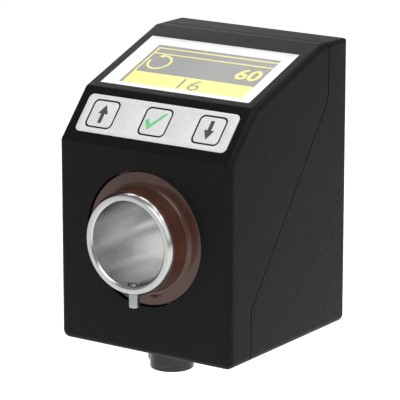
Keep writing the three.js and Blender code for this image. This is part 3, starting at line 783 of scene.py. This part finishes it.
pane = raised("window_pane", rectangle(grown(WINDOW, -0.04)), -0.14, -0.04, DISPLAY)
break_edges(pane, 0.02, 1)
finish_piece(pane, "clear_polycarbonate", "clear_plastic", "housing", "display_window")

# ---------------------------------------------------------------- keys


def key_foil():
    """The foil round the keys, with a hole for each."""
    foil = raised("key_foil", rectangle(FOIL, 1.3, 8), -0.4, FOIL_FACE, KEYPAD)
    for x in KEY_CENTRES.values():
        hole = rectangle(square(x, KEY_MIDDLE, KEY_HOLE_SIDE), KEY_HOLE_CORNER, 6)
        combine(foil, "DIFFERENCE", raised("hole", hole, -1, 1, KEYPAD))
    break_edges(foil, 0.05, 2)
    return foil


def arrow(x, direction):
    """An arrow on a key: its tip, head and shank."""
    points = [(0, 2.5), (-1.35, 0.05), (-0.5, 0.05), (-0.5, -2.45), (0.5, -2.45), (0.5, 0.05), (1.35, 0.05)]
    return [(x + direction * px, KEY_MIDDLE + direction * py) for px, py in points]


def tick(x):
    """A tick on a key, with its short stroke on the left."""
    points = [(-2.9, 0.1), (-1.35, -2.35), (2.4, 2.35), (1.9, 2.6), (-1.15, -0.75), (-2.05, 0.6)]
    return [(x + px, KEY_MIDDLE + py) for px, py in points]


finish_piece(key_foil(), "silver_foil", "silver_film", "housing", "keypad_foil")
SIGNS = {
    "up": (arrow(KEY_CENTRES["up"], 1), "dark_ink"),
    "enter": (tick(KEY_CENTRES["enter"]), "green_ink"),
    "down": (arrow(KEY_CENTRES["down"], -1), "dark_ink"),
}
for key, x in KEY_CENTRES.items():
    rim_outline = rectangle(square(x, KEY_MIDDLE, KEY_HOLE_SIDE - 0.06), 1.37, 8)
    rim_opening = rectangle(square(x, KEY_MIDDLE, KEY_SIDE + 0.06), 1.13, 8)
    rim = raised(f"{key}_key_rim", rim_outline, -0.5, -0.07, KEYPAD)
    combine(rim, "DIFFERENCE", raised("hole", rim_opening, -1, 1, KEYPAD))
    finish_piece(rim, "nitrile_rubber", "black_rubber", "housing")
    cap_outline = rectangle(square(x, KEY_MIDDLE, KEY_SIDE), 1.1, 8)
    cap = raised(f"{key}_key_cap", cap_outline, -2.4, FOIL_FACE, KEYPAD)
    break_edges(cap, 0.12, 3)
    finish_piece(cap, "silver_foil", "silver_film", f"{key}_key", f"key_{key}")
    outline, ink = SIGNS[key]
    mark = raised(f"{key}_key_sign", outline, FOIL_FACE, FOIL_FACE + INK, KEYPAD)
    finish_piece(mark, ink, "silver_film", f"{key}_key")

# ---------------------------------------------------------------- shaft, hub and clamp screw


def clamp_hole():
    """The bar that cuts the clamp screw's hole."""
    return cylinder("clamp_hole", CLAMP_HOLE_RADIUS, -18, -5, (0, CLAMP_Y, 0), "Z")


def shaft_sleeve():
    """The hollow shaft: a thin tube with a thicker rim at its front and broken edges."""
    profile = rounded(
        [
            (10.4, SHAFT_FRONT), (11.4, SHAFT_FRONT), (12.0, SHAFT_FRONT + 1.1), (12.0, SHAFT_FRONT + 1.15),
            (11.0, SHAFT_FRONT + 1.15), (11.0, -0.9), (10.6, -0.5), (10.4, -0.5), (BORE_RADIUS, -0.9),
            (BORE_RADIUS, SHAFT_FRONT + 0.4),
        ],
        [0.05, 0.06, 0, 0, 0, 0, 0, 0, 0, 0.05], 3,
    )
    sleeve = turned("shaft_sleeve", profile, steps=144)
    return combine(sleeve, "DIFFERENCE", clamp_hole())


def hub_flange():
    """The hub round the shaft, with a flange that closes the front cover's hole."""
    profile = rounded(
        [
            (11.2, HUB_FRONT), (12.1, HUB_FRONT), (12.1, FLANGE_FRONT), (FLANGE_RADIUS, FLANGE_FRONT),
            (FLANGE_RADIUS, FLANGE_BACK), (13.5, FLANGE_BACK), (13.5, -35), (11.2, -35),
        ],
        [0, 0.15, 1.2, 0.2, 0, 0, 0, 0], 6,
    )
    flange = turned("hub_flange", profile, steps=144)
    return combine(flange, "DIFFERENCE", clamp_hole())


finish_piece(shaft_sleeve(), "turned_stainless", "stainless_steel", "shaft", "hollow_shaft")
finish_piece(hub_flange(), "amber_polysulfone", "amber_plastic", "shaft", "shaft_hub")


def set_screw():
    """A set screw with a chamfered point, a hexagon socket and a rounded rim."""
    screw = turned(
        "clamp_set_screw",
        rounded(
            [(0, -15.3), (1.25, -15.3), (1.25, -10.0), (0.8, -9.6), (0, -9.6)], [0, 0.2, 0.1, 0.05, 0], 4,
        ),
        (0, CLAMP_Y, 0), "Z", 48,
    )
    return combine(screw, "DIFFERENCE", cylinder("socket", 0.65, -16, -14.2, (0, CLAMP_Y, 0), "Z", 6))


finish_piece(set_screw(), "zinc_plated_steel", "stainless_steel", "shaft", "clamp_screw")

# ---------------------------------------------------------------- connectors, screws and pin


def connector_sleeve(name, x, y, low, high, depth):
    """A connector sleeve: a turned tube with a rolled rim, a narrower neck and a recess in its lower end."""
    profile = rounded(
        [
            (4.1, low), (5.2, low), (5.2, FLOOR - 0.2), (4.4, FLOOR - 0.2), (4.4, high), (2.9, high),
            (2.9, low + depth), (4.1, low + depth),
        ],
        [0.15, 0.3, 0.15, 0, 0.2, 0, 0.1, 0], 4,
    )
    return turned(name, profile, (x, y, 0), "Z", 72)


for kind, depth in (("socket", 2.2), ("plug", 5.2)):
    sleeve = connector_sleeve(f"{kind}_sleeve", *CONNECTORS[kind], depth)
    finish_piece(sleeve, "satin_nickel", "nickel_plate", "housing", f"bus_{kind}_shell")


def cap_screw(number, x, z, tip):
    """A pan-head screw with a hexagon socket."""
    profile = rounded(
        [(0, tip), (1.4, tip), (1.4, -2.0), (2.7, -2.0), (2.7, -0.2), (0, -0.2)], [0, 0.4, 0, 0, 0.35, 0], 4,
    )
    screw = turned(f"housing_screw_{number}", profile, (x, 0, z), "Y", 48)
    return combine(screw, "DIFFERENCE", cylinder("socket", 1.15, -1.4, 1, (x, 0, z), vertices=6))


for number, (x, z, tip) in enumerate(SCREWS, 1):
    screw = cap_screw(number, x, z, tip)
    finish_piece(screw, "zinc_plated_steel", "stainless_steel", "housing", f"cover_screw_{number}")

pin = turned(
    "torque_pin_rod",
    rounded([(0, -7), (TORQUE_PIN_RADIUS, -7), (TORQUE_PIN_RADIUS, 9.8), (0, 9.8)], [0, 0.2, 0.6, 0], 5),
    (0, 0, TORQUE_PIN_Z), "Y", 72,
)
finish_piece(pin, "turned_stainless", "stainless_steel", "housing", "torque_pin")

# ---------------------------------------------------------------- floor, light and camera

bpy.ops.object.select_all(action="DESELECT")
bpy.ops.mesh.primitive_plane_add(size=8, location=(0, 0, -0.16))
floor = bpy.context.active_object
floor.name = "floor"
floor.data.materials.append(
    # A light table: pale, matt and evenly lit from below, so that no shadow falls under the piece.
    speckled(
        "light_table", "#fafafa", "#ffffff", 40, (0.7, 0.8), 0.0,
        {"IOR": 1.4, "Specular IOR Level": 0.1, "Emission Color": (1, 1, 1, 1), "Emission Strength": 0.48},
    ),
)


def area_light(name, location, target, width, height, power):
    """A soft light that faces its target, with its width level."""
    lamp = bpy.data.lights.new(name, "AREA")
    lamp.shape = "RECTANGLE"
    lamp.size = width
    lamp.size_y = height
    lamp.energy = power
    holder = bpy.data.objects.new(name, lamp)
    bpy.context.scene.collection.objects.link(holder)
    holder.location = location
    holder.rotation_mode = "QUATERNION"
    holder.rotation_quaternion = (Vector(target) - Vector(location)).to_track_quat("-Z", "Y")


# The place in the object that every light faces, in metres, and the arch of small lights over its back.
MIDDLE = (0, -0.03, 0.01)
LIGHT_ARCH = [
    (-0.66, 0.55, 0.49), (-0.45, 0.45, 0.76), (-0.08, 0.42, 0.91), (0.28, 0.37, 0.88), (0.58, 0.3, 0.74),
]
area_light("back_softbox", (-0.9, 1.3, 0.55), MIDDLE, 0.9, 0.5, 0.8)
for number, place_in_arch in enumerate(LIGHT_ARCH, 1):
    area_light(f"arch_light_{number}", place_in_arch, MIDDLE, 0.36, 0.2, 0.85)
area_light("front_fill", (0.36, -0.46, 0.86), MIDDLE, 0.9, 0.9, 4.9)
area_light("right_panel", (0.85, -0.05, 0.5), MIDDLE, 0.45, 0.85, 1.4)

world = bpy.data.worlds.new("white_studio")
world.use_nodes = True
background = world.node_tree.nodes["Background"]
background.inputs["Color"].default_value = (1, 1, 1, 1)
background.inputs["Strength"].default_value = 0.34
bpy.context.scene.world = world
bpy.context.scene.view_settings.view_transform = "Standard"

AZIMUTH = math.radians(34.625)
ELEVATION = math.radians(14.298)
camera_data = bpy.data.cameras.new("camera")
camera_data.sensor_width = 36
camera_data.lens = 247.54
camera_data.clip_end = 20
camera = bpy.data.objects.new("camera", camera_data)
bpy.context.scene.collection.objects.link(camera)
back = Vector((
    math.sin(AZIMUTH) * math.cos(ELEVATION), -math.cos(AZIMUTH) * math.cos(ELEVATION), math.sin(ELEVATION),
))
camera.location = Vector((355.43, -541.21, 163.88)) * MM
camera.rotation_mode = "QUATERNION"
camera.rotation_quaternion = (-back).to_track_quat("-Z", "Y")
bpy.context.scene.camera = camera
